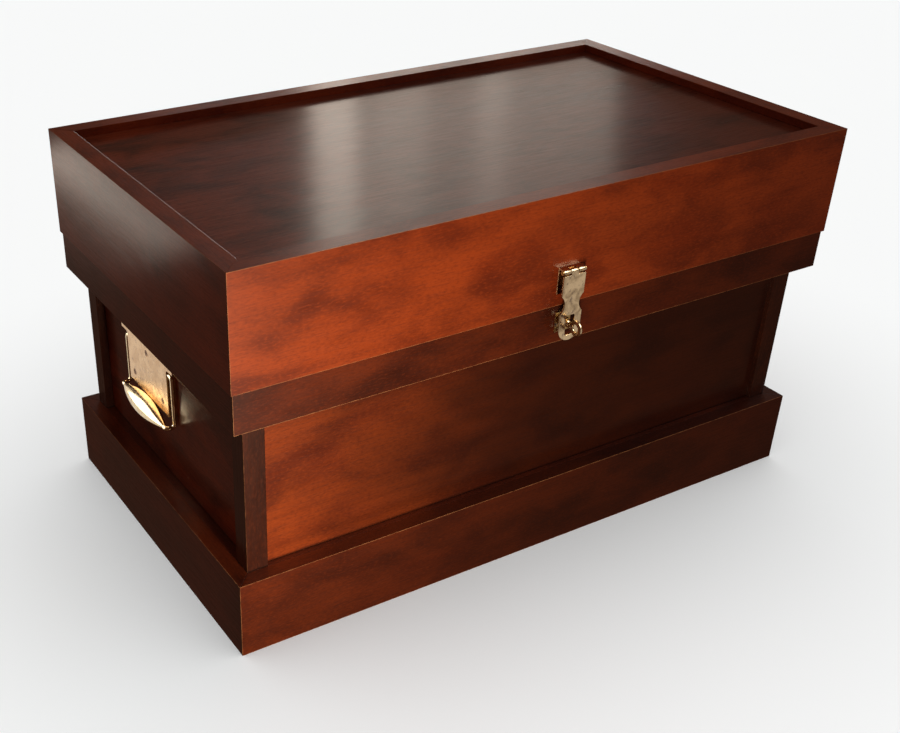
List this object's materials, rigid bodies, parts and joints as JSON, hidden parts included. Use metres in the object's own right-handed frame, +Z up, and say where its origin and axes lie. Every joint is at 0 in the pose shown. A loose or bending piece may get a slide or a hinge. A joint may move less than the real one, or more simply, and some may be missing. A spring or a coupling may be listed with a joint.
{
  "type": "wooden chest",
  "caption": "Framed wooden chest with a deep hinged box lid, mitred collar and plinth, a brass hasp with a turning staple and a drop handle on each end.",
  "frame": {"origin": "on the floor, in the middle of the overall box, hasp and hinge barrels included", "axes": "+Z up, the front with the hasp faces -Y, +X along the chest to the right seen from the front"},
  "size_m": [0.711, 0.4376, 0.4],
  "materials": {
    "case_wood": "red-brown stain under gloss varnish",
    "lid_wood": "red-brown stain under gloss varnish",
    "inner_wood": "stained, waxed",
    "brass": "polished, slightly tarnished",
    "brass_screw": "polished"
  },
  "bodies": {
    "chest": {"plinth_front": "case_wood", "plinth_back": "case_wood", "plinth_left": "case_wood", "plinth_right": "case_wood", "collar_front": "case_wood", "collar_back": "case_wood", "collar_left": "case_wood", "collar_right": "case_wood", "post_front_left": "case_wood", "post_front_right": "case_wood", "post_back_left": "case_wood", "post_back_right": "case_wood", "lower_rail_front": "case_wood", "lower_rail_back": "case_wood", "lower_rail_left": "case_wood", "lower_rail_right": "case_wood", "upper_rail_front": "case_wood", "upper_rail_back": "case_wood", "upper_rail_left": "case_wood", "upper_rail_right": "case_wood", "panel_front": "case_wood", "panel_back": "case_wood", "panel_left": "case_wood", "panel_right": "case_wood", "bottom_board": "inner_wood", "left_hinge_body_leaf": "brass", "right_hinge_body_leaf": "brass", "hinge_pins": "brass", "hinge_body_screws": "brass_screw", "staple_plate": "brass", "staple_screws": "brass_screw", "left_handle_plate": "brass", "right_handle_plate": "brass", "left_handle_screws": "brass_screw", "right_handle_screws": "brass_screw"},
    "lid": {"lid_board_front": "lid_wood", "lid_board_back": "lid_wood", "lid_board_left": "lid_wood", "lid_board_right": "lid_wood", "lid_panel": "lid_wood", "left_hinge_lid_leaf": "brass", "right_hinge_lid_leaf": "brass", "hinge_lid_screws": "brass_screw", "hasp_leaf": "brass", "hasp_screws": "brass_screw", "hasp_pin": "brass"},
    "hasp_strap": {"hasp_strap": "brass"},
    "staple_eye": {"staple_eye": "brass"},
    "left_bail": {"left_bail": "brass"},
    "right_bail": {"right_bail": "brass"}
  },
  "joints": [
    {"name": "lid_hinge", "type": "hinge", "parent": "chest", "child": "lid", "pos_m": [0, 0.21565, 0.2874], "axis": [-1, 0, 0], "range_deg": [0, 100]},
    {"name": "hasp_swing", "type": "hinge", "parent": "lid", "child": "hasp_strap", "pos_m": [0, -0.19855, 0.3245], "axis": [-1, 0, 0], "range_deg": [0, 175]},
    {"name": "staple_turn", "type": "hinge", "parent": "chest", "child": "staple_eye", "pos_m": [0, -0.21065, 0.2692], "axis": [0, -1, 0], "range_deg": [-90, 90]},
    {"name": "left_bail_swing", "type": "hinge", "parent": "chest", "child": "left_bail", "pos_m": [-0.33075, 0.04915, 0.2085], "axis": [0, 1, 0], "range_deg": [0, 125]},
    {"name": "right_bail_swing", "type": "hinge", "parent": "chest", "child": "right_bail", "pos_m": [0.33075, 0.04915, 0.2085], "axis": [0, -1, 0], "range_deg": [0, 125]}
  ]
}
